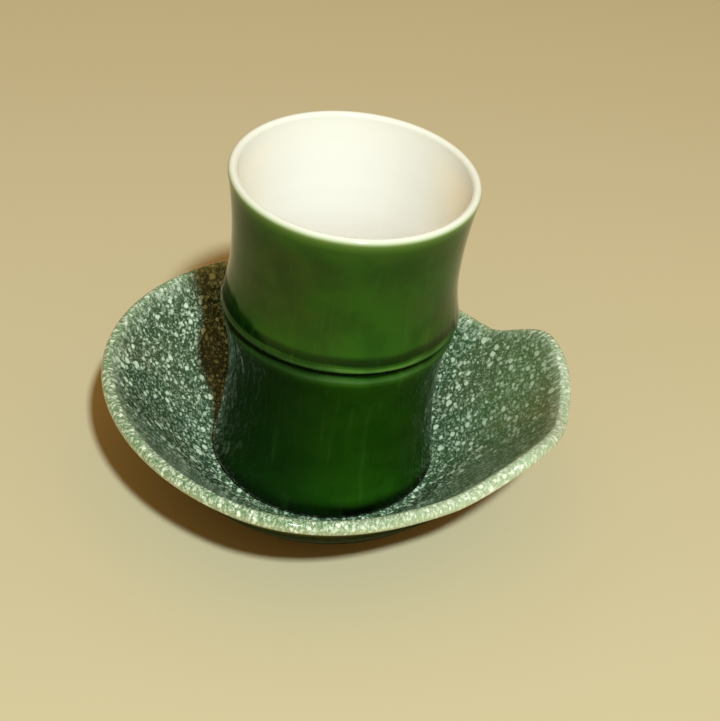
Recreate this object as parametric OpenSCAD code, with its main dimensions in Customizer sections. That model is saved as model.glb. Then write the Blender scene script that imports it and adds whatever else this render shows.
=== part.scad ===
// Cup shaped like a stem of bamboo, standing in a round dish with one pulled lobe.
// Two fired clay bodies, each with its glaze coats. The cup lifts straight up off the dish.
// The origin is on the cup's axis, on the table. +Z is up and the dish's lobe points along +X.

/* [Cup] */
// Height of the cup from its foot to the top of its lip
cup_h = 106; // [90:0.5:120]
// Outer radius of the cup just under its lip
cup_rim_r = 37.5; // [34:0.5:42]
// How far the upper section draws in at its waist, from the lip's radius
upper_waist_in = 2.5; // [0.5:0.1:4]
// Height of the upper waist above the cup's foot
upper_waist_z = 77; // [70:1:84]
// How far the ridge above the groove lies in from the lip's radius
ridge_in = 0.3; // [0:0.1:2]
// How far the band under the groove lies in from the lip's radius
band_in = 1.2; // [0.2:0.1:3]
// Height of the middle of the groove above the cup's foot
groove_z = 57.8; // [48:0.5:64]
// Height of the groove from the band to the ridge
groove_w = 4.8; // [3:0.2:7]
// Depth of the groove under the line from the band to the ridge
groove_deep = 1.3; // [0.5:0.1:2]
// How far the lower section draws in at its waist, from the lip's radius
lower_waist_in = 4; // [1:0.1:6]
// Height of the lower waist above the cup's foot
lower_waist_z = 33.8; // [24:0.5:42]
// How far the widest place at the foot lies in from the lip's radius
foot_in = 1.1; // [0.2:0.1:4]

/* [Cup wall] */
// Thickness of the lip, which is rounded
cup_lip_t = 2.8; // [2:0.1:4]
// Thickness of the wall below the upper waist
cup_wall_t = 3.6; // [2.8:0.1:5]
// Thickness of the bottom, over the recess
cup_floor_t = 5.5; // [4:0.5:8]
// Radius of the rounded corner at the foot
cup_foot_round = 3; // [1.2:0.1:3.5]
// Radius of the rounded corner inside, at the bottom
cup_inner_round = 7; // [3:0.5:12]
// Width of the flat ring that the cup stands on
cup_foot_w = 6; // [3:0.5:10]
// Depth of the recess inside that ring
cup_recess = 1.6; // [0.8:0.1:2.5]

/* [Dish] */
// Height of the dish's foot ring
dish_foot_h = 3.3; // [2.5:0.1:8]
// How far the foot ring stands out past the edge of the flat floor
dish_foot_out = 0.7; // [0.2:0.1:3]
// Width of the dish's foot ring
dish_foot_w = 6; // [4:0.5:10]
// Thickness of the dish's floor
dish_floor_t = 5.5; // [4:0.5:7]
// Radius of the dish, to the middle of its rounded lip
dish_r = 70.5; // [66:0.5:80]
// Rise of the middle of the lip above the dish's floor
dish_rise = 28.3; // [24:0.1:34]
// Radius of the rounded lip
dish_lip_r = 2.2; // [1.6:0.1:2.8]
// Gap between the cup's widest foot radius and the place where the floor starts to rise
seat_clear = 0.6; // [0.4:0.1:3]

/* [Lobe] */
// How far the lobe is pulled out past the round lip
lobe_out = 5; // [0:0.5:8]
// How far the middle of the lobe rises over the round lip
lobe_rise = 4.6; // [0:0.2:8]
// How far the lobe's two corners stand over its middle
corner_rise = 5; // [0:0.5:8]
// Half angle at which the lobe has its corners
lobe_corner_angle = 25; // [18:1:30]
// Half angle at which the lobe has run out
lobe_end_angle = 44.5; // [38:0.5:55]
// How far the lip is pinched in beside the lobe
pinch_in = 7.5; // [0:0.5:9]
// How far the lip dips at the pinch
pinch_dip = 3.3; // [0:0.1:5]
// Angle of the pinch from the lobe's middle
pinch_angle = 55.5; // [50:0.5:65]
// Angle over which the pinch fades out on either side
pinch_reach = 46; // [30:1:55]
// Sway of the hand-made lip in and out
sway = 0.9; // [0:0.1:1.5]
// Number of sways round the lip
sway_count = 3; // [2:1:5]
// Angle of the first outward sway
sway_angle = 51; // [0:1:90]

/* [Glaze] */
// Thickness of every glaze coat
glaze_t = 0.4; // [0.3:0.05:0.6]

/* [Hidden] */

// The bodies stay this far clear of their coats, so that no two solids share a curved face
coat_gap = 0.05;
coat_back = glaze_t + coat_gap;

// Height of the dish's floor, where the cup stands
seat_z = dish_foot_h + dish_floor_t;

// Cup: outer radius at each waist, at the ridge, at the band and at the foot
upper_waist_r = cup_rim_r - upper_waist_in;
ridge_r = cup_rim_r - ridge_in;
band_r = cup_rim_r - band_in;
lower_waist_r = cup_rim_r - lower_waist_in;
cup_foot_r = cup_rim_r - foot_in;

// Cup: stations along each curved stretch, and along each rounded corner
flare_steps = 9;
groove_steps = 10;
corner_steps = 6;
lip_steps = 10;
// A flare leaves its waist slowly and opens towards its end
flare_power = 2;
// Share of a right angle that the green coat runs down round the foot's corner
foot_cover_share = 0.85;
full_circle = 144;

// Dish: steps round the rim, stations along the wall, and steps over the lip
rim_steps = 72;
wall_steps = 8;
dish_lip_steps = 6;
// Radius where the flat floor starts to rise into the wall
floor_edge_r = cup_foot_r + seat_clear;
// How far the wall runs on level before it rises
wall_run_out = 6;
// Direction of the wall where it meets the lip: in by this much, down by this much
wall_lean_in = 12.8;
wall_lean_down = 14.2;
// Outer radius of the foot ring, and the height over the table where its coat ends
dish_foot_r = floor_edge_r + dish_foot_out;
foot_glaze_z = 2 * glaze_t;
// The underside coat starts on the wall by this share of its length past the foot ring
clear_share = 0.03;
underside_start_share = dish_foot_out / (3 * wall_run_out) + clear_share;
// How far the foot ring goes up into the floor, to be one with it
foot_overrun = 1;

// Shares and blends
function clamp_share(t) = min(max(t, 0), 1);
function ease(t) = let (u = clamp_share(t)) u * u * (3 - 2 * u);
function mix(a, b, t) = a + (b - a) * t;
function reversed(list) = [for (i = [len(list) - 1 : -1 : 0]) list[i]];
function arc(centre, r, from, to, steps) =
    [for (i = [0 : steps]) let (a = mix(from, to, i / steps)) centre + r * [cos(a), sin(a)]];

// Cup: outer radius of a flare that leaves its waist and reaches an end
function flare(z, waist_z, waist_r, end_z, end_r) =
    waist_r + (end_r - waist_r) * pow(abs(z - waist_z) / abs(end_z - waist_z), flare_power);

lip_z = cup_h - cup_lip_t / 2;
ridge_z = groove_z + groove_w / 2;
band_z = groove_z - groove_w / 2;

// Outer radius with the groove filled in, which the inside follows
function plain_r(z) =
    z >= upper_waist_z ? flare(z, upper_waist_z, upper_waist_r, lip_z, cup_rim_r) :
    z >= ridge_z ? flare(z, upper_waist_z, upper_waist_r, ridge_z, ridge_r) :
    z >= band_z ? mix(band_r, ridge_r, ease((z - band_z) / groove_w)) :
    z >= lower_waist_z ? flare(z, lower_waist_z, lower_waist_r, band_z, band_r) :
    flare(z, lower_waist_z, lower_waist_r, cup_foot_round, cup_foot_r);
function groove_share(z) = (1 + cos(180 * clamp_share(abs(z - groove_z) / (groove_w / 2)))) / 2;
function outer_r(z) = plain_r(z) - groove_deep * groove_share(z);

function wall_t(z) =
    mix(cup_wall_t, cup_lip_t, ease((z - upper_waist_z) / (lip_z - upper_waist_z)));
function inner_r(z) = plain_r(z) - wall_t(z);

// Heights along a stretch, without its first one
function heights(from, to, steps) = [for (i = [1 : steps]) mix(from, to, i / steps)];
side_heights = concat(
    heights(cup_foot_round, lower_waist_z, flare_steps),
    heights(lower_waist_z, band_z, flare_steps),
    heights(band_z, ridge_z, groove_steps),
    heights(ridge_z, upper_waist_z, flare_steps),
    heights(upper_waist_z, lip_z, flare_steps));
inner_start_z = cup_floor_t + cup_inner_round;
inner_heights = [for (z = side_heights) if (z > inner_start_z) z];

// The cup's outside from the foot's corner up to the lip, set in from the glazed surface
foot_corner = [cup_foot_r - cup_foot_round, cup_foot_round];
function outside(inset, cover_share) = concat(
    arc(foot_corner, cup_foot_round - inset, -90 * cover_share, 0, corner_steps),
    [for (z = side_heights) [outer_r(z) - inset, z]]);

// Over the lip and down the inside to the axis
lip_centre = [cup_rim_r - cup_lip_t / 2, lip_z];
function over_lip(inset) = arc(lip_centre, cup_lip_t / 2 - inset, 0, 180, lip_steps);
function inside(inset) = concat(
    [for (z = reversed(inner_heights)) if (z < lip_z) [inner_r(z) + inset, z]],
    arc([inner_r(inner_start_z) - cup_inner_round, inner_start_z], cup_inner_round + inset,
        0, -90, corner_steps),
    [[0, cup_floor_t - inset]]);

module turned(outline) {
    translate([0, 0, seat_z]) rotate_extrude($fn = full_circle) polygon(outline);
}

module cup_body() {
    foot_in_r = foot_corner[0] - cup_foot_w;
    color([0.86, 0.84, 0.78])
        turned(concat(
            [[0, cup_recess], [foot_in_r, cup_recess], [foot_in_r, 0], [foot_corner[0], 0]],
            outside(coat_back, 1),
            over_lip(coat_back),
            inside(coat_back)));
}

module cup_green_glaze() {
    color([0.10, 0.30, 0.08])
        turned(concat(
            outside(0, foot_cover_share),
            reversed(outside(glaze_t, foot_cover_share))));
}

module cup_cream_glaze() {
    color([0.95, 0.93, 0.84])
        turned(concat(
            over_lip(0),
            inside(0),
            reversed(inside(glaze_t)),
            reversed(over_lip(glaze_t))));
}

// Dish: how much of the lobe, its corners and the pinch there is at an angle round the rim
function off_lobe(a) = min(a, 360 - a);
function lobe_share(a) =
    ease((lobe_end_angle - off_lobe(a)) / (lobe_end_angle - lobe_corner_angle));
function corner_share(a) = lobe_share(a) * ease(off_lobe(a) / lobe_corner_angle);
function pinch_share(a) = ease(1 - abs(off_lobe(a) - pinch_angle) / pinch_reach);

// The middle of the rounded lip, as radius and height
function lip_at(a) = [
    dish_r + lobe_out * lobe_share(a) - pinch_in * pinch_share(a)
        + sway * cos(sway_count * (a - sway_angle)),
    seat_z + dish_rise + lobe_rise * lobe_share(a) + corner_rise * corner_share(a)
        - pinch_dip * pinch_share(a)];

// The middle of the wall is a cubic curve from the level floor to the lip
function wall_ends(a) = let (lip = lip_at(a), z = seat_z - dish_floor_t / 2) [
    [floor_edge_r, z],
    [floor_edge_r + wall_run_out, z],
    lip - [wall_lean_in, wall_lean_down],
    lip];
function curve(p, t) =
    pow(1 - t, 3) * p[0] + 3 * pow(1 - t, 2) * t * p[1]
    + 3 * (1 - t) * t * t * p[2] + pow(t, 3) * p[3];
function curve_run(p, t) =
    pow(1 - t, 2) * (p[1] - p[0]) + 2 * (1 - t) * t * (p[2] - p[1]) + t * t * (p[3] - p[2]);
function unit(v) = v / norm(v);
// The way that faces up and in from the wall
function face_up(p, t) = let (d = unit(curve_run(p, t))) [-d[1], d[0]];
function half_t(t) = mix(dish_floor_t / 2, dish_lip_r, t);

// One side of the wall at a share t of its length: side 1 is the top, side -1 the underside
function wall_point(a, t, side, inset) =
    let (p = wall_ends(a)) curve(p, t) + side * (half_t(t) - inset) * face_up(p, t);
function wall_side(a, side, inset, from) =
    [for (i = [0 : wall_steps]) wall_point(a, mix(from, 1, i / wall_steps), side, inset)];
function lip_arc(a, inset) =
    let (up = face_up(wall_ends(a), 1), start = atan2(up[1], up[0]))
    [for (i = [1 : dish_lip_steps]) let (b = start - 180 * i / dish_lip_steps)
        lip_at(a) + (dish_lip_r - inset) * [cos(b), sin(b)]];
function top_and_lip(a, inset) = concat(wall_side(a, 1, inset, 0), lip_arc(a, inset));
// The underside from the lip's arc, which holds its first point, to the edge of the flat floor
function underside(a, inset) = let (side = wall_side(a, -1, inset, underside_start_share))
    [for (i = [wall_steps - 1 : -1 : 0]) side[i], wall_point(a, 0, -1, inset)];

// Skins the sections round the axis. An open section is capped flat at both its ends. Each step
// is cut in two from its smaller radius on, so that solids that face each other are cut alike.
module swept(sections, closed_loop) {
    count = len(sections[0]);
    steps = len(sections);
    points = [for (j = [0 : steps - 1]) let (a = 360 * j / steps)
        for (p = sections[j]) [p[0] * cos(a), p[0] * sin(a), p[1]]];
    last = closed_loop ? count - 1 : count - 2;
    sides = [for (j = [0 : steps - 1], i = [0 : last])
        let (j2 = (j + 1) % steps, i2 = (i + 1) % count,
             p = j * count + i, q = j * count + i2, r = j2 * count + i2, s = j2 * count + i)
        each sections[j][i][0] < sections[j][i2][0] ? [[p, r, q], [p, s, r]] : [[p, s, q], [s, r, q]]];
    caps = closed_loop ? [] : [
        [for (j = [steps - 1 : -1 : 0]) j * count],
        [for (j = [0 : steps - 1]) j * count + count - 1]];
    polyhedron(points, concat(sides, caps));
}

rim_angles = [for (j = [0 : rim_steps - 1]) 360 * j / rim_steps];

module dish_foot_ring() {
    rotate_extrude($fn = full_circle)
        translate([dish_foot_r - dish_foot_w, 0])
            square([dish_foot_w - coat_back, dish_foot_h + foot_overrun]);
}

module dish_body() {
    color([0.62, 0.58, 0.50]) union() {
        swept([for (a = rim_angles) concat(top_and_lip(a, coat_back), underside(a, coat_back))],
            false);
        dish_foot_ring();
    }
}

module dish_speckled_glaze() {
    color([0.30, 0.46, 0.36])
        swept([for (a = rim_angles)
            concat(top_and_lip(a, 0), reversed(top_and_lip(a, glaze_t)))], false);
}

module dish_underside_glaze() {
    foot_coat = [
        [dish_foot_r, dish_foot_h],
        [dish_foot_r, foot_glaze_z],
        [dish_foot_r - glaze_t, foot_glaze_z],
        [dish_foot_r - glaze_t, dish_foot_h + glaze_t]];
    color([0.26, 0.34, 0.26])
        swept([for (a = rim_angles) concat(
            reversed(wall_side(a, -1, 0, underside_start_share)),
            foot_coat,
            wall_side(a, -1, glaze_t, underside_start_share))], true);
}

dish_body();
dish_speckled_glaze();
dish_underside_glaze();
cup_body();
cup_green_glaze();
cup_cream_glaze();
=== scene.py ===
# %% [markdown]
# # A bamboo-shaped cup in its speckled dish
#
# The real set is two pieces of fired clay. A tall cup is turned to look like a stem of bamboo
# with one node, and it stands in a round dish with one lobe pulled out of its rim. Both are
# glazed: the cup green outside and cream inside, the dish with a speckled green.
#
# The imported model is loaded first. It gives the overall sizes and the places, in metres, with
# the table at height 0 and the lobe along +X, and each new piece is fitted to it.

import functools
import math

import bpy
from mathutils import Matrix, Vector


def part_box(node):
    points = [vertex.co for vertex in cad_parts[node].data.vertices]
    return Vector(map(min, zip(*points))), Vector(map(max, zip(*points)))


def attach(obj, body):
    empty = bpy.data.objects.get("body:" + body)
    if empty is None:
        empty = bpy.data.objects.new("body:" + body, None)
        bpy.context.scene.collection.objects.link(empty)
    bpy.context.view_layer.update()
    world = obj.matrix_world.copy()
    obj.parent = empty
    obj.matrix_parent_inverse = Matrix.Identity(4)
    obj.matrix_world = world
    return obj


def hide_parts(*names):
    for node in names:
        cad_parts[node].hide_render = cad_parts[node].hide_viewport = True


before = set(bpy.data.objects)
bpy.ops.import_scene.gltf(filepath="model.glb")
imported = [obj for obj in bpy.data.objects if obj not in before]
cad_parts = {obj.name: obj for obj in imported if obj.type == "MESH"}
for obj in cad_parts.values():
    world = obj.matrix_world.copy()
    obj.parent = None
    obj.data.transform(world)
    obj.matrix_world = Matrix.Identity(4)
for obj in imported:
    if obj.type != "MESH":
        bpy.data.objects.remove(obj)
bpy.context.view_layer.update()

MM = 0.001

# %% [markdown]
# ## The camera
#
# The photo looks down on the cup from in front, and the camera was held a little askew. A camera
# could be aimed with a Track To constraint, but that always keeps it level. This one is turned
# round its own line of sight, then tipped, and then turned round the table's upright axis, so
# three plain angles give that stance.

# %% Set up the camera
CAMERA_LENS = 80.0
CAMERA_TIP = math.radians(37.03)
CAMERA_ROLL = math.radians(7.69)
CAMERA_TURN = math.radians(4.82)
CAMERA_PLACE = Vector((42.78, -405.45, 353.81)) * MM

bpy.ops.object.camera_add(location=CAMERA_PLACE)
camera = bpy.context.object
camera.name = "camera"
camera.data.lens = CAMERA_LENS
camera.data.dof.use_dof = False
camera.rotation_euler = (
    Matrix.Rotation(CAMERA_TURN, 4, "Z")
    @ Matrix.Rotation(math.radians(90) - CAMERA_TIP, 4, "X")
    @ Matrix.Rotation(CAMERA_ROLL, 4, "Z")
).to_euler()
bpy.context.scene.camera = camera
bpy.context.scene.view_settings.view_transform = "Standard"
print("camera looks down by", round(math.degrees(CAMERA_TIP), 1), "degrees")

# %% [markdown]
# ## Mixing finishes
#
# Glaze is colour that varies on a surface that hardly does, so most of each material is its
# colour. It could be painted as a picture and wrapped round each piece, but a pattern made of
# nodes has no seams and stays sharp close up. The helpers below build such colours from noise,
# cells and ramps. They read the piece's own coordinates in metres, so a spot's size is given as
# a real length. Colours are written as they look on a screen, from 0 to 255, and turned into the
# linear values that a shader needs.

# %% Helpers for colours and coordinates
def paint(red, green, blue):
    """A screen colour as the linear colour, with alpha, that a shader works in."""
    shares = [value / 255 for value in (red, green, blue)]
    linear = [s / 12.92 if s <= 0.04045 else ((s + 0.055) / 1.055) ** 2.4 for s in shares]
    return (*linear, 1.0)


def new_finish(name, roughness, ior=1.5):
    """A material with a plain shader, whose colour and bump the next steps link in."""
    material = bpy.data.materials.new(name)
    material.use_nodes = True
    shader = material.node_tree.nodes["Principled BSDF"]
    shader.inputs["Roughness"].default_value = roughness
    shader.inputs["IOR"].default_value = ior
    return material, material.node_tree, shader


def node(tree, kind, **settings):
    """Adds a shader node and sets its own settings."""
    made = tree.nodes.new("ShaderNode" + kind)
    for name, value in settings.items():
        setattr(made, name, value)
    return made


def place(tree, stretch=(1, 1, 1), where=None):
    """The piece's own coordinates in metres, or others given, stretched for streaks."""
    source = where or node(tree, "TexCoord").outputs["Object"]
    if stretch == (1, 1, 1):
        return source
    mapping = node(tree, "Mapping")
    mapping.inputs["Scale"].default_value = [1 / s for s in stretch]
    tree.links.new(source, mapping.inputs["Vector"])
    return mapping.outputs["Vector"]


def height(tree):
    """The height over the table."""
    split = node(tree, "SeparateXYZ")
    tree.links.new(place(tree), split.inputs["Vector"])
    return split.outputs["Z"]


def level_part(tree):
    """The coordinates without their height."""
    flat = node(tree, "VectorMath", operation="MULTIPLY")
    tree.links.new(place(tree), flat.inputs[0])
    flat.inputs[1].default_value = (1, 1, 0)
    return flat.outputs["Vector"]


def from_axis(tree):
    """The distance from the cup's axis."""
    length = node(tree, "VectorMath", operation="LENGTH")
    tree.links.new(level_part(tree), length.inputs[0])
    return length.outputs["Value"]


def towards(tree, direction):
    """How far a point lies from the cup's axis towards a level direction."""
    made = node(tree, "VectorMath", operation="DOT_PRODUCT")
    tree.links.new(place(tree), made.inputs[0])
    made.inputs[1].default_value = (*direction, 0)
    return made.outputs["Value"]


def own_value(tree, name):
    """A number that the piece's vertices carry."""
    return node(tree, "Attribute", attribute_name=name).outputs["Fac"]


# %% Helpers for noise and cells
def noise(tree, size, detail=2.0, rough=0.5, stretch=(1, 1, 1), seed=0.0, where=None):
    """Cloudy noise from 0 to 1, whose patches are about a size across."""
    made = node(tree, "TexNoise", noise_dimensions="4D")
    made.inputs["W"].default_value = seed
    made.inputs["Scale"].default_value = 1 / size
    made.inputs["Detail"].default_value = detail
    made.inputs["Roughness"].default_value = rough
    tree.links.new(place(tree, stretch, where), made.inputs["Vector"])
    return made.outputs["Fac"]


def warped(tree, size, amount, seed=0.0, where=None):
    """The coordinates, shifted about by noise, which makes the outlines drawn on them ragged."""
    start = where or place(tree)
    made = node(tree, "TexNoise", noise_dimensions="4D")
    made.inputs["W"].default_value = seed
    made.inputs["Scale"].default_value = 1 / size
    made.inputs["Detail"].default_value = 1.0
    tree.links.new(start, made.inputs["Vector"])
    shift = node(tree, "VectorMath", operation="MULTIPLY_ADD")
    tree.links.new(made.outputs["Color"], shift.inputs[0])
    shift.inputs[1].default_value = (2 * amount, 2 * amount, 2 * amount)
    tree.links.new(start, shift.inputs[2])
    return shift.outputs["Vector"]


def cells(tree, size, seed=0.0, where=None):
    """Scattered points about a size apart: the distance to the nearest, and its chance value."""
    made = node(tree, "TexVoronoi", voronoi_dimensions="4D")
    made.inputs["W"].default_value = seed
    made.inputs["Scale"].default_value = 1 / size
    tree.links.new(where or place(tree), made.inputs["Vector"])
    chance = node(tree, "SeparateColor")
    tree.links.new(made.outputs["Color"], chance.inputs["Color"])
    return made.outputs["Distance"], chance.outputs["Red"]


# %% Helpers for arithmetic and ramps
def sums(tree, operation, first, second=0.0):
    """Plain arithmetic on two values, each a number or a socket."""
    made = node(tree, "Math", operation=operation)
    for socket, value in zip(made.inputs, (first, second)):
        if isinstance(value, (int, float)):
            socket.default_value = value
        else:
            tree.links.new(value, socket)
    return made.outputs["Value"]


def product(tree, first, *others):
    """All the values multiplied."""
    for value in others:
        first = sums(tree, "MULTIPLY", first, value)
    return first


def levels(tree, value, low, high, low_to=0.0, high_to=1.0):
    """Maps a stretch of values smoothly onto another and holds them at its ends."""
    made = node(tree, "MapRange", interpolation_type="SMOOTHSTEP")
    for name, number in zip(("From Min", "From Max", "To Min", "To Max"),
                            (low, high, low_to, high_to)):
        made.inputs[name].default_value = number
    tree.links.new(value, made.inputs["Value"])
    return made.outputs["Result"]


def ramp(tree, value, stops, low=0.0, high=1.0):
    """Colours along a value. Stops are given in the value's own units."""
    made = node(tree, "ValToRGB")
    made.color_ramp.interpolation = "EASE"
    elements = made.color_ramp.elements
    while len(elements) < len(stops):
        elements.new(0.5)
    for element, (at, colour) in zip(elements, stops):
        element.position = (at - low) / (high - low)
        element.color = colour
    share = node(tree, "MapRange")
    share.inputs["From Min"].default_value = low
    share.inputs["From Max"].default_value = high
    tree.links.new(value, share.inputs["Value"])
    tree.links.new(share.outputs["Result"], made.inputs["Fac"])
    return made.outputs["Color"]


# %% Helpers for spots, layers and relief
def grains(tree, where, size, rarity, radius, soft, seed):
    """Rounded spots, one in each cell whose chance passes the rarity, larger with more chance."""
    near, chance = cells(tree, size, seed, where)
    reach = product(tree, sums(tree, "SUBTRACT", chance, rarity), radius / (1 - rarity))
    return levels(tree, sums(tree, "SUBTRACT", reach, near), -soft, soft)


def blend(tree, share, under, over, way="MIX"):
    """Lays one colour over another. Each of the three is a plain value or a socket."""
    made = node(tree, "Mix", data_type="RGBA", blend_type=way)
    for index, value in ((0, share), (6, under), (7, over)):
        if isinstance(value, (int, float, tuple)):
            made.inputs[index].default_value = value
        else:
            tree.links.new(value, made.inputs[index])
    return made.outputs[2]


def bump(tree, shader, relief, depth, under=None):
    """Bumps a shader by a relief from 0 to 1 that is as deep as a real length."""
    made = node(tree, "Bump")
    made.inputs["Strength"].default_value = 1.0
    made.inputs["Distance"].default_value = depth
    tree.links.new(relief, made.inputs["Height"])
    if under:
        tree.links.new(under, made.inputs["Normal"])
    tree.links.new(made.outputs["Normal"], shader.inputs["Normal"])
    return made.outputs["Normal"]


print("a screen grey of 128 is", round(paint(128, 128, 128)[0], 3), "in linear light")

# %% [markdown]
# ## Floor and light
#
# A plain pale floor takes the object's shadow and shows in its gloss. A sun lamp could light it,
# but its light falls evenly everywhere, and a real lamp's fades across the table. So one square
# lamp stands high in front, a little to the right, and is small enough to give the shadow a clear
# edge. A dim even sky fills the shadow. It is warm and the lamp a little cool, so that together
# they are near white and the shadow alone turns brown.

# %% Make the floor
FLOOR_SIZE = 6.0

bpy.ops.mesh.primitive_plane_add(size=FLOOR_SIZE)
floor = bpy.context.object
floor.name = "floor"
floor_finish, _, floor_shader = new_finish("floor", 0.85)
floor_shader.inputs["Base Color"].default_value = paint(201, 193, 154)
floor_shader.inputs["Specular IOR Level"].default_value = 0.1
floor.data.materials.append(floor_finish)
print("floor is", FLOOR_SIZE, "m across")

# %% Light the scene
LAMP_TURN = math.radians(-70)
LAMP_RISE = math.radians(53)
LAMP_DISTANCE = 1.6
LAMP_SIZE = 0.09
LAMP_POWER = 27.1
SKY_STRENGTH = 0.40
TO_LAMP = Vector((
    math.cos(LAMP_RISE) * math.cos(LAMP_TURN),
    math.cos(LAMP_RISE) * math.sin(LAMP_TURN),
    math.sin(LAMP_RISE),
))


def add_panel(name, spot, size, power, colour):
    """A square lamp that faces the object."""
    bpy.ops.object.light_add(type="AREA", location=spot)
    panel = bpy.context.object
    panel.name = name
    panel.data.size = size
    panel.data.energy = power
    panel.data.color = colour
    panel.rotation_euler = (-Vector(spot)).to_track_quat("-Z", "Y").to_euler()
    return panel


add_panel("lamp", TO_LAMP * LAMP_DISTANCE, LAMP_SIZE, LAMP_POWER, (0.84, 0.944, 1.0))

sky = bpy.data.worlds.new("sky")
bpy.context.scene.world = sky
sky.use_nodes = True
sky.node_tree.nodes["Background"].inputs["Color"].default_value = (1.0, 0.57, 0.20, 1.0)
sky.node_tree.nodes["Background"].inputs["Strength"].default_value = SKY_STRENGTH
print("lamp at", [round(v, 3) for v in TO_LAMP * LAMP_DISTANCE])

# %% [markdown]
# ## Outlines and the wheel
#
# Everything here was shaped on a potter's wheel, so every piece starts as a section: a closed
# outline of radius and height. The outline's vertices are a circle's, moved to their places, and
# spinning them round the axis gives a closed shell with real thickness. Lathe-like modifiers
# could do it too, but a spun mesh is finished at once and its seams are easy to weld.

# %% Helpers for outlines
def ease(t):
    """A share that leaves 0 and reaches 1 gently."""
    t = min(max(t, 0.0), 1.0)
    return t * t * (3 - 2 * t)


def mix(a, b, t):
    return a + (b - a) * t


def stretch_of(low, high, steps):
    """Even values along a stretch, with both its ends."""
    return [mix(low, high, i / steps) for i in range(steps + 1)]


def arc(centre, radius, start, end, steps):
    """Points of a round corner, from a start to an end angle in degrees."""
    turns = [math.radians(a) for a in stretch_of(start, end, steps)]
    return [(centre[0] + radius * math.cos(a), centre[1] + radius * math.sin(a)) for a in turns]


def lean(radius_at, z):
    """How far from upright a wall leans out at a height, in degrees."""
    step = 0.01 * MM
    return math.degrees(math.atan((radius_at(z + step) - radius_at(z - step)) / (2 * step)))


# %% Helpers for spinning
SMOOTH_UNDER = math.radians(35)
WELD = 0.001 * MM


def deselect():
    if bpy.context.object and bpy.context.object.mode != "OBJECT":
        bpy.ops.object.mode_set(mode="OBJECT")
    bpy.ops.object.select_all(action="DESELECT")


def spun(name, section, steps):
    """Spins a closed section round the axis. Each vertex keeps its number in the section."""
    deselect()
    bpy.ops.mesh.primitive_circle_add(vertices=len(section), radius=MM, fill_type="NOTHING")
    piece = bpy.context.object
    piece.name = name
    piece.data.name = name
    numbers = piece.data.attributes.new("number", "INT", "POINT")
    for index, (vertex, (radius, z)) in enumerate(zip(piece.data.vertices, section)):
        vertex.co = (radius, 0, z)
        numbers.data[index].value = index
    bpy.ops.object.mode_set(mode="EDIT")
    bpy.ops.mesh.select_all(action="SELECT")
    bpy.ops.mesh.spin(steps=steps, angle=math.tau, center=(0, 0, 0), axis=(0, 0, 1))
    bpy.ops.mesh.select_all(action="SELECT")
    bpy.ops.mesh.remove_doubles(threshold=WELD)
    bpy.ops.mesh.delete_loose()
    bpy.ops.mesh.select_all(action="SELECT")
    bpy.ops.mesh.normals_make_consistent(inside=False)
    bpy.ops.object.mode_set(mode="OBJECT")
    return piece


def finish_piece(piece, packed_node, body, finish):
    """Smooths a piece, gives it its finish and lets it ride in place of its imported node."""
    deselect()
    piece.select_set(True)
    bpy.context.view_layer.objects.active = piece
    bpy.ops.object.shade_smooth_by_angle(angle=SMOOTH_UNDER)
    piece.data.attributes.remove(piece.data.attributes["number"])
    piece.data.materials.clear()
    piece.data.materials.append(finish)
    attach(piece, body)
    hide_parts(packed_node)
    print(piece.name, len(piece.data.polygons), "faces")


# %% [markdown]
# ## The cup's shape
#
# Seen from the side the cup has two sections that draw in at a waist, like the stretches of a
# bamboo stem, and between them the node: a ridge, a narrow groove and a band. The outline could
# be drawn as a Bezier curve with handles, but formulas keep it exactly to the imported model. Each
# stretch is a shallow flare, and the groove is one wave of a cosine, which has no hard edge
# anywhere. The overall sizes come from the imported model, and only the outline's own are given.

# %% Sizes of the cup
foot_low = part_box("cup_body")[0]
lip_low, lip_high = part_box("cup_cream_glaze")
SEAT_Z = foot_low[2]
CUP_H = lip_high[2] - SEAT_Z
RIM_R = (lip_high[0] - lip_low[0]) / 2

UPPER_WAIST_R = RIM_R - 2.5 * MM
UPPER_WAIST_Z = 77 * MM
RIDGE_R = RIM_R - 0.3 * MM
BAND_R = RIM_R - 1.2 * MM
GROOVE_Z = 57.8 * MM
GROOVE_W = 4.8 * MM
GROOVE_DEEP = 1.3 * MM
LOWER_WAIST_R = RIM_R - 4 * MM
LOWER_WAIST_Z = 33.8 * MM
CUP_FOOT_R = RIM_R - 1.1 * MM
CUP_LIP_T = 2.8 * MM
CUP_WALL_T = 3.6 * MM
CUP_FLOOR_T = 5.5 * MM
CUP_FOOT_ROUND = 3 * MM
CUP_INNER_ROUND = 7 * MM
CUP_FOOT_W = 6 * MM
CUP_RECESS = 1.6 * MM
CUP_RECESS_EDGE = 0.4 * MM
CUP_FOOT_EDGE = 0.3 * MM
GLAZE_T = 0.4 * MM

LIP_Z = CUP_H - CUP_LIP_T / 2
RIDGE_Z = GROOVE_Z + GROOVE_W / 2
BAND_Z = GROOVE_Z - GROOVE_W / 2
print("cup is", round(CUP_H / MM, 2), "mm tall and", round(2 * RIM_R / MM, 2), "mm across")

# %% Radii of the cup, by the height over its foot
def flare(z, waist_z, waist_r, end_z, end_r):
    return waist_r + (end_r - waist_r) * ((z - waist_z) / (end_z - waist_z)) ** 2


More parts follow.
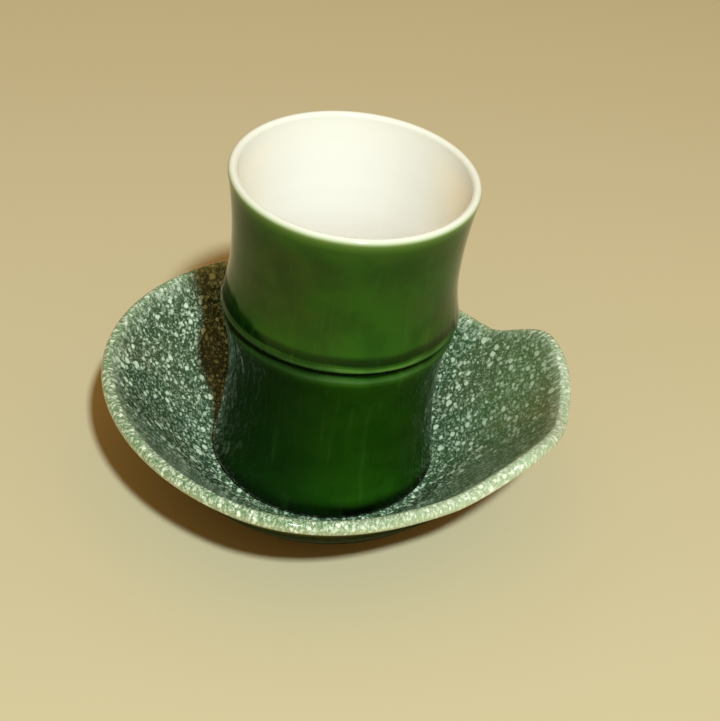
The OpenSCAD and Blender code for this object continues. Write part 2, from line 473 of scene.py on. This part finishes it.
def plain_r(z):
    """Outer radius with the groove filled in."""
    if z >= UPPER_WAIST_Z:
        return flare(z, UPPER_WAIST_Z, UPPER_WAIST_R, LIP_Z, RIM_R)
    if z >= RIDGE_Z:
        return flare(z, UPPER_WAIST_Z, UPPER_WAIST_R, RIDGE_Z, RIDGE_R)
    if z >= BAND_Z:
        return mix(BAND_R, RIDGE_R, ease((z - BAND_Z) / GROOVE_W))
    if z >= LOWER_WAIST_Z:
        return flare(z, LOWER_WAIST_Z, LOWER_WAIST_R, BAND_Z, BAND_R)
    return flare(z, LOWER_WAIST_Z, LOWER_WAIST_R, CUP_FOOT_ROUND, CUP_FOOT_R)


def outer_r(z):
    off_groove = min(abs(z - GROOVE_Z) / (GROOVE_W / 2), 1)
    return plain_r(z) - GROOVE_DEEP * (1 + math.cos(math.pi * off_groove)) / 2


def inner_r(z):
    thin = ease((z - UPPER_WAIST_Z) / (LIP_Z - UPPER_WAIST_Z))
    return plain_r(z) - mix(CUP_WALL_T, CUP_LIP_T, thin)


# %% Outlines of the cup
CUP_TURNS = 240
CORNER_STEPS = 10
LIP_STEPS = 24
FOOT_COVER = 76

lip_lean = lean(plain_r, LIP_Z - MM)
foot_lean = -lean(plain_r, CUP_FOOT_ROUND + MM)
floor_lean = -lean(plain_r, CUP_FLOOR_T + CUP_INNER_ROUND)
lip_centre = (RIM_R - CUP_LIP_T / 2, LIP_Z)
foot_centre = (CUP_FOOT_R - CUP_FOOT_ROUND, CUP_FOOT_ROUND)
print("node is", round(2 * outer_r(RIDGE_Z) / MM, 1), "mm across and the groove",
      round(2 * outer_r(GROOVE_Z) / MM, 1))


def side_heights(low, high):
    """Heights up the side, close together at the node, without the two ends."""
    marks = (
        stretch_of(0, LOWER_WAIST_Z, 14)
        + stretch_of(LOWER_WAIST_Z, BAND_Z, 14)
        + stretch_of(BAND_Z, RIDGE_Z, 24)
        + stretch_of(RIDGE_Z, UPPER_WAIST_Z, 12)
        + stretch_of(UPPER_WAIST_Z, LIP_Z, 16)
    )
    margin = 0.2 * MM
    return [z for z in sorted(set(marks)) if low + margin < z < high - margin]


def outside(inset, cover):
    """Up the outside, from the foot's corner to where the lip starts to turn over."""
    corner = arc(foot_centre, CUP_FOOT_ROUND - inset, -cover, foot_lean, CORNER_STEPS)
    top = arc(lip_centre, CUP_LIP_T / 2 - inset, -lip_lean, -lip_lean, 1)[:1]
    return corner + [(outer_r(z) - inset, z) for z in side_heights(corner[-1][1], top[0][1])] + top


def over_lip(inset):
    return arc(lip_centre, CUP_LIP_T / 2 - inset, -lip_lean, 180 - lip_lean, LIP_STEPS)


def inside(inset):
    """Down the inside, round its bottom corner and in to the axis."""
    corner_z = CUP_FLOOR_T + CUP_INNER_ROUND
    corner = arc((inner_r(corner_z) - CUP_INNER_ROUND, corner_z), CUP_INNER_ROUND + inset,
                 floor_lean, -90, CORNER_STEPS)
    walls = side_heights(corner[0][1], over_lip(inset)[-1][1])
    floor_in = [(corner[-1][0] * share, corner[-1][1]) for share in (0.66, 0.33, 0)]
    return [(inner_r(z) + inset, z) for z in reversed(walls)] + corner + floor_in


def lifted(section):
    """Sets a section of the cup, measured from its foot, on the dish."""
    return [(radius, z + SEAT_Z) for radius, z in section]


# %% [markdown]
# ## The cup's three pieces
#
# The clay body is covered by two coats of glaze, a green one outside and a cream one over the
# lip and inside. They meet on the lip's outside, where the lip starts to turn over. A Solidify
# modifier could thicken a copy of the body's skin, but a coat's two ends come out cleaner when
# its section is drawn once at its face and once at its back. Each coat is a thin shell of its own
# that lies on the body, and the body shows only under the foot.

# %% Spin the cup
def foot_underneath():
    """Under the cup: the recess, the step down to the ring and the flat ring itself."""
    ring_in = foot_centre[0] - CUP_FOOT_W
    return [(0, CUP_RECESS), (ring_in / 2, CUP_RECESS), (ring_in - CUP_RECESS_EDGE, CUP_RECESS),
            (ring_in, CUP_RECESS - CUP_RECESS_EDGE), (ring_in, CUP_FOOT_EDGE),
            (ring_in + CUP_FOOT_EDGE, 0)]


cup_body = spun("turned_cup", lifted(
    foot_underneath()
    + outside(GLAZE_T, 90)
    + over_lip(GLAZE_T)[1:]
    + inside(GLAZE_T)), CUP_TURNS)
cup_green = spun("green_coat", lifted(
    outside(0, FOOT_COVER)
    + outside(GLAZE_T, FOOT_COVER)[::-1]), CUP_TURNS)
cup_cream = spun("cream_coat", lifted(
    over_lip(0)
    + inside(0)
    + inside(GLAZE_T)[::-1]
    + over_lip(GLAZE_T)[::-1]), CUP_TURNS)
print("coats are", round(GLAZE_T / MM, 2), "mm thick, and the lip leans out by",
      round(lip_lean, 1), "degrees")

# %% [markdown]
# ## The dish's shape
#
# The dish was thrown round, and then its rim was pulled out into a lobe with two raised corners
# and pinched in beside it. So its lip is a ring whose radius and height change with the angle.
# The wall's middle line is one Bezier curve from the level floor to the lip, at each angle anew.
# A dish that is pulled about with proportional editing looks much the same, but here the lip
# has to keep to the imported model, so each vertex is sent to its place by its angle.

# %% Sizes of the dish
FLOOR_T = 5.5 * MM
FOOT_H = SEAT_Z - FLOOR_T
FLOOR_EDGE_R = CUP_FOOT_R + 0.6 * MM
FOOT_R = FLOOR_EDGE_R + 0.7 * MM
FOOT_W = 6 * MM
FOOT_GLAZE_Z = 2 * GLAZE_T
FOOT_EDGE = 0.5 * MM
DISH_R = 70.5 * MM
DISH_RISE = 28.3 * MM
DISH_LIP_R = 2.2 * MM
WALL_RUN_OUT = 6 * MM
WALL_LEAN = Vector((12.8, 14.2)) * MM
LOBE_OUT = 5 * MM
LOBE_RISE = 4.6 * MM
CORNER_RISE = 5 * MM
LOBE_CORNER = 25
LOBE_END = 44.5
PINCH_IN = 7.5 * MM
PINCH_DIP = 3.3 * MM
PINCH_ANGLE = 55.5
PINCH_REACH = 46
SWAY = 0.9 * MM
SWAY_COUNT = 3
SWAY_ANGLE = 51
UNDER_START = 0.069
print("dish's floor lies", round(FOOT_H / MM, 2), "mm over the table")

# %% The lip and the wall at an angle
DISH_LIP_STEPS = 18


def lip_at(angle):
    """The middle of the rounded lip, as radius and height."""
    off = min(angle, 360 - angle)
    lobe = ease((LOBE_END - off) / (LOBE_END - LOBE_CORNER))
    corner = lobe * ease(off / LOBE_CORNER)
    pinch = ease(1 - abs(off - PINCH_ANGLE) / PINCH_REACH)
    sway = SWAY * math.cos(math.radians(SWAY_COUNT * (angle - SWAY_ANGLE)))
    radius = DISH_R + LOBE_OUT * lobe - PINCH_IN * pinch + sway
    z = SEAT_Z + DISH_RISE + LOBE_RISE * lobe + CORNER_RISE * corner - PINCH_DIP * pinch
    return Vector((radius, z))


def wall_point(angle, t, side, inset):
    """A point on one face of the wall: side 1 is the top, side -1 the underside."""
    z = SEAT_Z - FLOOR_T / 2
    start = Vector((FLOOR_EDGE_R, z))
    bend_out = Vector((FLOOR_EDGE_R + WALL_RUN_OUT, z))
    lip = lip_at(angle)
    bend_up = lip - WALL_LEAN
    s = 1 - t
    on = s**3 * start + 3 * s**2 * t * bend_out + 3 * s * t**2 * bend_up + t**3 * lip
    run = s**2 * (bend_out - start) + 2 * s * t * (bend_up - bend_out) + t**2 * (lip - bend_up)
    run.normalize()
    up = Vector((-run[1], run[0]))
    return on + side * (mix(FLOOR_T / 2, DISH_LIP_R, t) - inset) * up


def lip_arc(angle, inset):
    """Round the lip, from the end of the top to the end of the underside."""
    lip = lip_at(angle)
    up = wall_point(angle, 1, 1, 0) - lip
    start = math.degrees(math.atan2(up[1], up[0]))
    return arc(lip, DISH_LIP_R - inset, start, start - 180, DISH_LIP_STEPS)[1:]


# %% Sections of the dish
FLOOR_SHARES = (0, 0.3, 0.6, 0.85, 0.97)
WALL_STEPS = 22


def top_and_lip(angle, inset):
    """From the axis over the floor, up the wall and round the lip."""
    floor_part = [(FLOOR_EDGE_R * share, SEAT_Z - inset) for share in FLOOR_SHARES]
    wall = [tuple(wall_point(angle, t, 1, inset)) for t in stretch_of(0, 1, WALL_STEPS)]
    return floor_part + wall + lip_arc(angle, inset)


def underneath(angle, inset, start):
    """Down the underside of the wall, from the lip to a share of the wall's length."""
    return [tuple(wall_point(angle, t, -1, inset)) for t in stretch_of(1, start, WALL_STEPS)]


def speckled_section(angle):
    return top_and_lip(angle, 0) + top_and_lip(angle, GLAZE_T)[::-1]


def underside_section(angle):
    wall = underneath(angle, 0, UNDER_START)
    corner_r = wall[-1][0] - FOOT_R
    corner = arc((FOOT_R + corner_r, FOOT_H - corner_r), corner_r, 90, 180, CORNER_STEPS)[1:]
    inner_top = FOOT_H + GLAZE_T
    foot_end = arc((FOOT_R - GLAZE_T / 2, FOOT_GLAZE_Z), GLAZE_T / 2, 0, -180, 6)
    return (wall + corner + foot_end + [(FOOT_R - GLAZE_T, inner_top)]
            + underneath(angle, GLAZE_T, UNDER_START)[::-1])


def body_section(angle):
    outer = FOOT_R - GLAZE_T
    inner = FOOT_R - FOOT_W
    ceiling = FOOT_H + GLAZE_T
    foot = ([(outer, ceiling)]
            + arc((outer - FOOT_EDGE, FOOT_EDGE), FOOT_EDGE, 0, -90, 6)
            + arc((inner + FOOT_EDGE, FOOT_EDGE), FOOT_EDGE, -90, -180, 6)
            + arc((inner - FOOT_EDGE, ceiling - FOOT_EDGE), FOOT_EDGE, 0, 90, 6))
    return (top_and_lip(angle, GLAZE_T) + underneath(angle, GLAZE_T, UNDER_START)[1:] + foot
            + [(inner * 0.5, ceiling), (0, ceiling)])


# %% [markdown]
# ## Throwing and pulling the dish
#
# The section at angle 0 is spun into a round dish, as on the wheel. Then each vertex is moved
# out and up, or in and down, to where its own angle's section has it. The vertices also get a
# number of how far along the section they lie, 0 to 1 over the wall and 1 to 2 over the lip,
# which the glaze reads where its colour follows the rim.

# %% Helpers for the dish
DISH_TURNS = 288


def pulled(name, section_at, along_at):
    """Spins a section into a round dish and pulls every vertex to its own angle's section."""
    section = functools.lru_cache(None)(section_at)
    piece = spun(name, section(0.0), DISH_TURNS)
    mesh = piece.data
    mesh.attributes.new("along", "FLOAT", "POINT")
    along = mesh.attributes["along"].data
    numbers = mesh.attributes["number"].data
    for vertex in mesh.vertices:
        index = numbers[vertex.index].value
        along[vertex.index].value = along_at(index)
        x, y, z = vertex.co
        if math.hypot(x, y) < WELD:
            continue
        step = round(math.atan2(y, x) / math.tau * DISH_TURNS) % DISH_TURNS
        turn = math.tau * step / DISH_TURNS
        radius, z = section(360.0 * step / DISH_TURNS)[index]
        vertex.co = (radius * math.cos(turn), radius * math.sin(turn), z)
    mesh.update()
    return piece


def along_top(index):
    """0 on the floor, then 0 to 1 over the wall and 1 to 2 over the lip."""
    half = len(FLOOR_SHARES) + WALL_STEPS + 1 + DISH_LIP_STEPS
    index = min(index, 2 * half - 1 - index)
    on_wall = index - len(FLOOR_SHARES)
    if on_wall <= WALL_STEPS:
        return max(on_wall, 0) / WALL_STEPS
    return 1 + (on_wall - WALL_STEPS) / DISH_LIP_STEPS


def along_underside(index):
    """1 at the lip, and 0 from the foot ring on."""
    total = len(underside_section(0.0))
    index = min(index, total - 1 - index)
    return max(1 - index / WALL_STEPS, 0)


# %% Throw the dish
dish_body = pulled("thrown_dish", body_section, along_top)
dish_speckled = pulled("speckled_coat", speckled_section, along_top)
dish_underside = pulled("underside_coat", underside_section, along_underside)
print("dish's sections have", len(body_section(0.0)), len(speckled_section(0.0)), "and",
      len(underside_section(0.0)), "points")

# %% [markdown]
# ## The green glaze
#
# Copper green glaze is thin where it runs off an edge and deep where it gathers. It runs off the
# lip and shows the white under it, breaks pale on the ridge and the band, and pools dark in the
# groove and at the foot. The ramp also paints in light and shade: part of the paleness on the ridge
# and the band is a painted highlight, the groove and the foot are deepened to nearly black as
# painted shade, a band just over the ridge is a painted dark reflection, and the lower section is
# darker as a painted reflection of the dish. These shades could be painted on the vertices, but a
# ramp over the height sets each one to a tenth of a millimetre, and noise sways it a little, as
# glaze runs.

# %% Shades up the cup
GREEN_SHADES_AND_PAINTED_LIGHT = (
    # painted shade at the foot's corner, nearly black, over pooled glaze
    (0.6, (0, 3, 0)),
    (3.6, (0, 5, 0)),
    (4.7, (2, 15, 0)),
    (5.5, (14, 40, 4)),
    (6.4, (24, 62, 7)),
    (8, (31, 78, 10)),
    # painted reflection: the lower section darker, as the dark dish mirrored in it
    (20, (27, 68, 6)),
    (50.5, (26, 62, 6)),
    (52.6, (30, 68, 8)),
    # partly painted highlight: the band pale where the glaze also thins
    (54.4, (46, 94, 22)),
    (55.6, (68, 106, 50)),
    (56.4, (48, 92, 32)),
    # the groove: pooled glaze, deepened to nearly black as painted shade
    (57.1, (5, 26, 0)),
    (59.0, (2, 16, 0)),
    (59.6, (16, 44, 2)),
    # partly painted highlight: the ridge pale where the glaze also thins
    (60.2, (74, 120, 52)),
    (60.8, (82, 128, 54)),
    (61.4, (44, 88, 18)),
    # painted dark reflection in a band just over the ridge
    (62.4, (6, 36, 0)),
    (63.8, (10, 42, 1)),
    (65.6, (36, 82, 10)),
    (84, (36, 80, 8)),
    (96, (36, 74, 10)),
    (101.2, (46, 80, 16)),
    (102.8, (62, 98, 27)),
    (103.5, (76, 111, 40)),
)
LIP_SHADES = (
    (104.2, (90, 122, 56)),
    (104.7, (126, 150, 96)),
    (105.2, (176, 194, 156)),
    (105.6, (206, 218, 194)),
    (105.9, (229, 234, 219)),
)
MOST_STOPS = 32


def over_foot(tree):
    """The height over the cup's foot."""
    return sums(tree, "SUBTRACT", height(tree), SEAT_Z)


def swayed_height(tree):
    """The height over the foot, swayed by noise below the lip, where the glaze has run."""
    up = over_foot(tree)
    sway = levels(tree, noise(tree, 16 * MM, 1), 0.3, 0.7, -0.3 * MM, 0.3 * MM)
    below_lip = levels(tree, up, CUP_H - 14 * MM, CUP_H - 6 * MM, 1, 0.2)
    return sums(tree, "ADD", up, product(tree, sway, below_lip))


def up_the_cup(tree, shades):
    """A ramp of shades over the cup's height. Each shade has its height over the foot in mm."""
    stops = [(z * MM, paint(*shade)) for z, shade in shades]
    return ramp(tree, swayed_height(tree), stops, 0, CUP_H)


print(len(GREEN_SHADES_AND_PAINTED_LIGHT) + len(LIP_SHADES), "shades, of the", MOST_STOPS, "that a ramp can hold")

# %% [markdown]
# ## Clouds, painted reflections and painted shade
#
# The glaze isn't even round the cup. The upper half has soft brown clouds, made strongest at its
# sides, where the brown also stands for a painted reflection, and darker green patches lie all
# over.
# Over the ridge a dark wedge, deepest on the left and with an uneven edge, is a painted dark
# reflection, and below the ridge both sides are painted in shade. A brush could put such marks
# anywhere. Here each is a noise or a slope, cut to its height and its side, so they stay soft at
# any distance.

# %% Layers of the green glaze
RIGHT = (0.9, 0.44)
LEFT = (-0.9, -0.44)
FAR_LEFT = (-0.994, -0.105)
DARK_REFLECTION_Z = GROOVE_Z + 3.6 * MM


def clouded(tree, colour):
    """Brown clouds, at the sides also a painted reflection, and darker green patches, both ending
    under the lip.
    """
    up = over_foot(tree)
    under_lip = levels(tree, up, CUP_H - 7 * MM, CUP_H - 4 * MM, 1, 0)
    clouds = levels(tree, noise(tree, 24 * MM, 3, seed=7), 0.38, 0.62)
    upper = levels(tree, up, GROOVE_Z, UPPER_WAIST_Z, 0.1, 0.5)
    # the brown is made stronger at the two sides, where it is a painted reflection
    sideways = sums(tree, "ABSOLUTE", towards(tree, RIGHT))
    sides_with_painted_reflection = levels(tree, sideways, 4 * MM, 22 * MM, 0.35, 1.1)
    share = product(tree, clouds, upper, sides_with_painted_reflection, under_lip)
    colour = blend(tree, share, colour, paint(52, 56, 16))
    patches = levels(tree, noise(tree, 11 * MM, 3, seed=12), 0.4, 0.65)
    return blend(tree, product(tree, patches, 0.34, under_lip), colour, paint(8, 42, 2))


def painted_dark_reflection(tree):
    """The share of a painted dark reflection: a wedge from over the ridge, rising to the far left.
    """
    up = over_foot(tree)
    uneven = noise(tree, 5 * MM, 2, 0.5, stretch=(1, 1, 2), seed=29)
    uneven = levels(tree, uneven, 0.3, 0.7, -1.2 * MM, 1.2 * MM)
    leftward = sums(tree, "ADD", towards(tree, FAR_LEFT), uneven)
    rise = sums(tree, "ADD", levels(tree, leftward, 15 * MM, 29 * MM, 0, 5.4 * MM),
                levels(tree, leftward, 29 * MM, 31 * MM, 0, 1.6 * MM))
    over_edge = sums(tree, "SUBTRACT", up, sums(tree, "ADD", rise, DARK_REFLECTION_Z))
    return product(tree, levels(tree, over_edge, -1.8 * MM, 1.4 * MM, 0.75, 0),
                   levels(tree, up, DARK_REFLECTION_Z, DARK_REFLECTION_Z + MM),
                   levels(tree, leftward, 12 * MM, 18 * MM))


def shaded_below_ridge(tree, colour):
    """Painted shade: darker from the ridge down at both sides, more on the left."""
    left = levels(tree, towards(tree, LEFT), 0, 30 * MM)
    right = levels(tree, towards(tree, RIGHT), 8 * MM, 30 * MM, 0, 0.6)
    low = levels(tree, over_foot(tree), GROOVE_Z + 3.4 * MM, GROOVE_Z + 4.2 * MM, 0.75, 0)
    share = product(tree, sums(tree, "MAXIMUM", left, right), low)
    return blend(tree, share, colour, paint(12, 34, 10))


# %% [markdown]
# ## Gloss and relief of the green glaze
#
# The glaze is glossy on the plain stretches and dull in the groove, where it is deepest and
# little light gets in. So its specular level rises with the distance from the groove. Its
# surface swells a little, and shallow upright folds run from over the node down to the foot. They
# are bumps and not geometry, because they are under half a millimetre deep and mostly show in the
# reflections.

# %% Finish the green glaze
def green_shine(tree, dark_reflection_share):
    """The specular level: low in the groove, under the painted dark reflection and towards the
    foot.
    """
    up = over_foot(tree)
    off_groove = sums(tree, "ABSOLUTE", sums(tree, "SUBTRACT", up, GROOVE_Z))
    return product(tree, levels(tree, off_groove, 1.2 * MM, 7 * MM, 0.02, 0.13),
                   levels(tree, dark_reflection_share, 0.1, 0.75, 1, 0.05),
                   levels(tree, up, LOWER_WAIST_Z, GROOVE_Z, 0.6, 1))


def green_relief(tree, shader):
    swell = bump(tree, shader, noise(tree, 11 * MM, 1, 0.4, seed=2), 0.10 * MM)
    low = levels(tree, over_foot(tree), GROOVE_Z + 3 * MM, GROOVE_Z + 16 * MM, 1, 0)
    folds = product(tree, noise(tree, 3.2 * MM, 1, 0.4, stretch=(1, 1, 3), seed=17), low)
    folded = bump(tree, shader, folds, 0.45 * MM, swell)
    bump(tree, shader, noise(tree, 1.6 * MM, 1, 0.5, seed=9), 0.006 * MM, folded)


def green_glaze():
    finish, tree, shader = new_finish("green_glaze", 0.06, 1.5)
    dark_reflection_share = painted_dark_reflection(tree)
    colour = clouded(tree, up_the_cup(tree, GREEN_SHADES_AND_PAINTED_LIGHT + LIP_SHADES))
    # painted dark reflection over the ridge, then painted shade at both sides below it
    colour = blend(tree, dark_reflection_share, colour, paint(4, 30, 4))
    colour = shaded_below_ridge(tree, colour)
    runs = levels(tree, noise(tree, 2.4 * MM, 2, 0.6, stretch=(1, 1, 18), seed=5), 0.55, 0.85)
    colour = blend(tree, product(tree, runs, 0.06), colour, paint(120, 170, 90))
    tree.links.new(colour, shader.inputs["Base Color"])
    shader.inputs["Specular IOR Level"].default_value = 0.1
    tree.links.new(green_shine(tree, dark_reflection_share), shader.inputs["Specular IOR Level"])
    green_relief(tree, shader)
    return finish


finish_piece(cup_green, "cup_green_glaze", "cup", green_glaze())

# %% [markdown]
# ## The cream glaze
#
# Inside, the glaze is glossy cream with a few pinholes, and its two sides are painted warmer, as
# warm shade. One flat cream would look grey at the bottom of so deep a cup, where less light falls,
# so its shade is lightest there and a little darker near the rim. On the outer side of the lip it
# takes on the shades that the green coat ends in, and the two coats run into each other with no
# edge.

# %% Finish the cream glaze
CREAM_SHADES = (
    (5, (254, 252, 242)),
    (62, (253, 251, 243)),
    (72, (248, 248, 241)),
    (82, (241, 243, 235)),
    (90, (237, 239, 231)),
    (104.4, (234, 237, 226)),
    (105.6, (229, 234, 219)),
)


def warm_shade_at_sides(tree, colour):
    """Painted warm shade at both sides of the inside, patchy and not on the lip."""
    # thick is only a patchy share of the painted warm shade, not the glaze's thickness
    thick = levels(tree, noise(tree, 16 * MM, 2, seed=4), 0.35, 0.75, 0.6, 0.95)
    below_lip = levels(tree, over_foot(tree), CUP_H - 8 * MM, CUP_H - 1.5 * MM, 1, 0)
    right = levels(tree, towards(tree, (0.95, -0.3)), 6 * MM, 26 * MM)
    left = levels(tree, towards(tree, LEFT), 10 * MM, 32 * MM, 0, 0.6)
    share = product(tree, thick, below_lip, sums(tree, "MAXIMUM", right, left))
    return blend(tree, share, colour, paint(254, 247, 219))


def cream_glaze():
    finish, tree, shader = new_finish("cream_glaze", 0.1, 1.5)
    shader.inputs["Specular IOR Level"].default_value = 0.3
    colour = warm_shade_at_sides(tree, up_the_cup(tree, CREAM_SHADES))
    near, chance = cells(tree, 6 * MM, seed=2)
    pinholes = levels(tree, sums(tree, "ADD", near, product(tree, chance, 0.35)), 0.06, 0.085, 1, 0)
    colour = blend(tree, product(tree, pinholes, 0.8), colour, paint(120, 100, 60))
    outer_side = levels(tree, from_axis(tree), lip_centre[0], lip_centre[0] + 0.5 * MM)
    colour = blend(tree, outer_side, colour, up_the_cup(tree, LIP_SHADES))
    tree.links.new(colour, shader.inputs["Base Color"])
    bump(tree, shader, noise(tree, 10 * MM, 1, 0.4, seed=6), 0.08 * MM)
    return finish


finish_piece(cup_cream, "cup_cream_glaze", "cup", cream_glaze())

# %% [markdown]
# ## The speckled glaze
#
# The dish's glaze is a deep blue-green crowded with pale mint specks, from a fraction of a
# millimetre to three. They have no outline: they are where the glaze has curdled. Particles
# could scatter them, but they lie in the glaze and not on it. So cloudy noise cut at a level
# gives the finest, and spots in scattered cells give three larger sizes, drawn on coordinates
# that more noise has made ragged. They are fainter towards the lobe and the front.

# %% Specks and ground of the dish
LOBE = (1, 0)
FRONT = (0.1, -1)


def specks(tree):
    """The share of pale specks, from fine web to large spots."""
    where = warped(tree, 0.9 * MM, 0.4 * MM, seed=1)
    where_large = warped(tree, 1.4 * MM, 0.8 * MM, seed=9)
    layers = (
        product(tree, levels(tree, noise(tree, 0.9 * MM, 2, 0.6, seed=14), 0.52, 0.6), 0.3),
        product(tree, levels(tree, noise(tree, 1.4 * MM, 2, 0.6, seed=21), 0.6, 0.64), 0.55),
        product(tree, grains(tree, where, 1.5 * MM, 0.02, 0.56, 0.1, 2), 0.7),
        product(tree, grains(tree, where, 2.6 * MM, 0.3, 0.5, 0.06, 3), 0.9),
        grains(tree, where_large, 3.4 * MM, 0.6, 0.4, 0.05, 5),
    )
    most = layers[0]
    for layer in layers[1:]:
        most = sums(tree, "MAXIMUM", most, layer)
    return product(tree, most, levels(tree, towards(tree, LOBE), 34 * MM, 70 * MM, 1, 0.5),
                   levels(tree, towards(tree, FRONT), 20 * MM, 52 * MM, 1, 0.6))


def ground_colour(tree, fine):
    """The glaze between the specks: blue-green, and greener to the front and the lobe."""
    ground = blend(tree, fine, paint(36, 60, 36), paint(74, 102, 70))
    patches = levels(tree, noise(tree, 14 * MM, 2, seed=3), 0.35, 0.65)
    ground = blend(tree, product(tree, patches, 0.45), ground, paint(36, 74, 54))
    to_front = levels(tree, towards(tree, FRONT), 20 * MM, 62 * MM, 0, 0.6)
    ground = blend(tree, to_front, ground, paint(56, 78, 36))
    to_lobe = levels(tree, towards(tree, LOBE), 24 * MM, 62 * MM, 0, 0.75)
    leaf = blend(tree, fine, paint(62, 98, 54), paint(98, 132, 84))
    ground = blend(tree, to_lobe, ground, leaf)
    lobe_front = levels(tree, towards(tree, (0.95, -0.33)), 48 * MM, 70 * MM, 0, 0.5)
    return blend(tree, lobe_front, ground, paint(88, 94, 44))


# %% [markdown]
# ## The dish's lip
#
# Over the lip the glaze thins, so the ground turns a light leaf green and the specks almost
# white, and they are drawn out a little, as they ran. The lip is one ring in the dish's mesh, so
# the number that the vertices carry tells where it starts. Coordinates that run round the dish
# and down its wall let one stretch draw the specks out along the slope at every angle.

# %% Finish the speckled glaze
DRAWN_WALL = 18 * MM
DRAWN_LIP = 5.6 * MM


def down_the_wall(tree, along):
    """Coordinates round the dish and down its wall, on which the specks come out longer."""
    around = node(tree, "VectorMath", operation="NORMALIZE")
    tree.links.new(level_part(tree), around.inputs[0])
    on_wall = product(tree, sums(tree, "MINIMUM", along, 1.0), DRAWN_WALL)
    on_lip = product(tree, sums(tree, "MAXIMUM", sums(tree, "SUBTRACT", along, 1.0)), DRAWN_LIP)
    drop = node(tree, "CombineXYZ")
    tree.links.new(sums(tree, "ADD", on_wall, on_lip), drop.inputs["Z"])
    made = node(tree, "VectorMath", operation="MULTIPLY_ADD")
    tree.links.new(around.outputs["Vector"], made.inputs[0])
    made.inputs[1].default_value = (DISH_R, DISH_R, 0)
    tree.links.new(drop.outputs["Vector"], made.inputs[2])
    return made.outputs["Vector"]


def lip_colour(tree, along, fine, streaks, where):
    """The thin glaze over the lip, with its drawn-out specks, and a painted highlight at the front
    right.
    """
    ragged = warped(tree, 0.8 * MM, 0.6 * MM, 4, where)
    strokes = product(tree, grains(tree, ragged, 1.2 * MM, 0.25, 0.6, 0.14, 6), 0.85)
    share = sums(tree, "MAXIMUM", strokes, product(tree, streaks, 0.5))
    ground = blend(tree, fine, paint(80, 112, 70), paint(142, 170, 132))
    ground = blend(tree, levels(tree, along, 1.45, 1.9), ground, paint(156, 172, 130))
    colour = blend(tree, share, ground, paint(236, 249, 228))
    # painted highlight: the lip made paler towards the front right
    right = levels(tree, towards(tree, (0.9, -0.44)), 36 * MM, 64 * MM, 0, 0.26)
    return blend(tree, right, colour, paint(236, 250, 216))


def speckled_glaze():
    finish, tree, shader = new_finish("speckled_glaze", 0.06, 1.5)
    shader.inputs["Specular IOR Level"].default_value = 0.35
    along = own_value(tree, "along")
    fine = levels(tree, noise(tree, 0.6 * MM, 2, 0.6, seed=8), 0.3, 0.7)
    spots = specks(tree)
    deep = blend(tree, spots, ground_colour(tree, fine), paint(216, 242, 208))
    where = down_the_wall(tree, along)
    streaks = levels(tree, noise(tree, 0.8 * MM, 2, 0.6, (1, 1, 1.5), 9, where), 0.5, 0.6)
    thin = levels(tree, sums(tree, "ADD", along, product(tree, streaks, 0.04)), 0.92, 1.1)
    colour = blend(tree, thin, deep, lip_colour(tree, along, fine, streaks, where))
    colour = blend(tree, levels(tree, along, 1.9, 1.97), colour, paint(70, 52, 26))
    tree.links.new(colour, shader.inputs["Base Color"])
    swell = bump(tree, shader, noise(tree, 9 * MM, 1, 0.4, seed=2), 0.12 * MM)
    bump(tree, shader, spots, 0.008 * MM, swell)
    return finish


finish_piece(dish_speckled, "dish_speckled_glaze", "dish", speckled_glaze())

# %% [markdown]
# ## Under the dish
#
# Under the lip the colour starts olive brown. It soon turns dark, with one paler band above the
# middle, then nearly black, and at the foot ring it is a dark grey-green. These bands are painted
# shade and light under the overhanging lip. It is thin and dull, and from above it only shows as a
# narrow strip. The number along the section drives its ramp too, because a ramp over the height
# would slip wherever the rim rises into the lobe or dips beside it.

# %% Finish the underside
def underside_glaze():
    finish, tree, shader = new_finish("underside_glaze", 0.4, 1.5)
    shader.inputs["Specular IOR Level"].default_value = 0.0
    along = own_value(tree, "along")
    wander = product(tree, noise(tree, 9 * MM, 2, seed=4), 0.02)
    # painted shade and light: dark bands and one paler band under the overhanging lip
    colour = ramp(tree, sums(tree, "ADD", along, wander), (
        (0.0, paint(34, 41, 25)),
        (0.25, paint(13, 17, 7)),
        (0.44, paint(36, 42, 30)),
        (0.62, paint(58, 64, 48)),
        (0.77, paint(40, 46, 24)),
        (0.90, paint(42, 49, 24)),
        (0.96, paint(74, 76, 42)),
        (1.0, paint(88, 84, 48)),
    ))
    mottle = levels(tree, noise(tree, 1.4 * MM, 2, seed=6), 0.4, 0.7)
    colour = blend(tree, product(tree, mottle, 0.12), colour, paint(120, 132, 96))
    tree.links.new(colour, shader.inputs["Base Color"])
    bump(tree, shader, noise(tree, 6 * MM, 1, seed=1), 0.08 * MM)
    return finish


finish_piece(dish_underside, "dish_underside_glaze", "dish", underside_glaze())

# %% [markdown]
# ## The bare clay
#
# The clay is bare only under the two feet: buff on the dish and whiter on the cup, matt, finely
# grained and with a little dark grit. Sculpting the grain would need millions of faces, so it is
# a bump, and one recipe with two pairs of colours serves both clays.

# %% Finish the bare clay
def bare_clay(name, pale, dark):
    finish, tree, shader = new_finish(name, 0.78, 1.45)
    clouds = levels(tree, noise(tree, 9 * MM, 2, seed=5), 0.35, 0.7)
    colour = blend(tree, clouds, pale, dark)
    near, chance = cells(tree, 1.8 * MM, seed=7)
    grit = levels(tree, sums(tree, "ADD", near, product(tree, chance, 0.3)), 0.1, 0.2, 1, 0)
    colour = blend(tree, product(tree, grit, 0.6), colour, paint(110, 84, 52))
    tree.links.new(colour, shader.inputs["Base Color"])
    bump(tree, shader, noise(tree, 0.5 * MM, 3, 0.6, seed=2), 0.05 * MM)
    return finish


dish_clay = bare_clay("dish_clay", paint(196, 178, 142), paint(172, 150, 112))
cup_clay = bare_clay("cup_clay", paint(224, 216, 196), paint(206, 194, 166))
finish_piece(dish_body, "dish_body", "dish", dish_clay)
finish_piece(cup_body, "cup_body", "cup", cup_clay)
